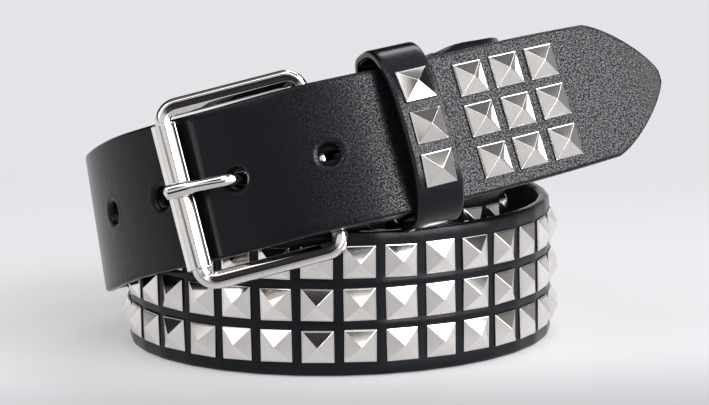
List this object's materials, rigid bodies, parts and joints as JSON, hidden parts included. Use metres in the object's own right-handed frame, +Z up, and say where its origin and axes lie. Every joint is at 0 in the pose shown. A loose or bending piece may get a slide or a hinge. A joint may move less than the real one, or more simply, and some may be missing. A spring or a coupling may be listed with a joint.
{
  "type": "studded belt",
  "caption": "Black leather belt with rows of pyramid studs, buckled and coiled, with a roller buckle and a keeper loop.",
  "frame": {"origin": "bottom centre of the coiled belt's bounding box, on the surface that its lower edge stands on", "axes": "+Z up along the coil's axis, +X to the right seen from the buckle's side, where the strap's end points, -Y towards the side that shows the buckle"},
  "size_m": [0.1572, 0.1386, 0.0873],
  "materials": {
    "strap_leather": "pebbled, semi-matt",
    "keeper_leather": "pebbled, semi-gloss",
    "buckle_nickel": "polished nickel plate",
    "stud_nickel": "polished nickel plate"
  },
  "bodies": {
    "belt": {"strap": "strap_leather", "keeper_loop": "keeper_leather", "buckle_frame": "buckle_nickel", "buckle_prong": "buckle_nickel", "keeper_stud_1": "stud_nickel", "keeper_stud_2": "stud_nickel", "keeper_stud_3": "stud_nickel", "tail_stud_1_1": "stud_nickel", "tail_stud_1_2": "stud_nickel", "tail_stud_1_3": "stud_nickel", "tail_stud_2_1": "stud_nickel", "tail_stud_2_2": "stud_nickel", "tail_stud_2_3": "stud_nickel", "tail_stud_3_1": "stud_nickel", "tail_stud_3_2": "stud_nickel", "tail_stud_3_3": "stud_nickel"},
    "roller": {"buckle_roller": "buckle_nickel"}
  },
  "joints": [
    {"name": "roller_spin", "type": "hinge", "parent": "belt", "child": "roller", "pos_m": [-0.04893, -0.0554, 0.04789], "axis": [-0.2331, 0.2507, 0.9396], "continuous": true}
  ]
}
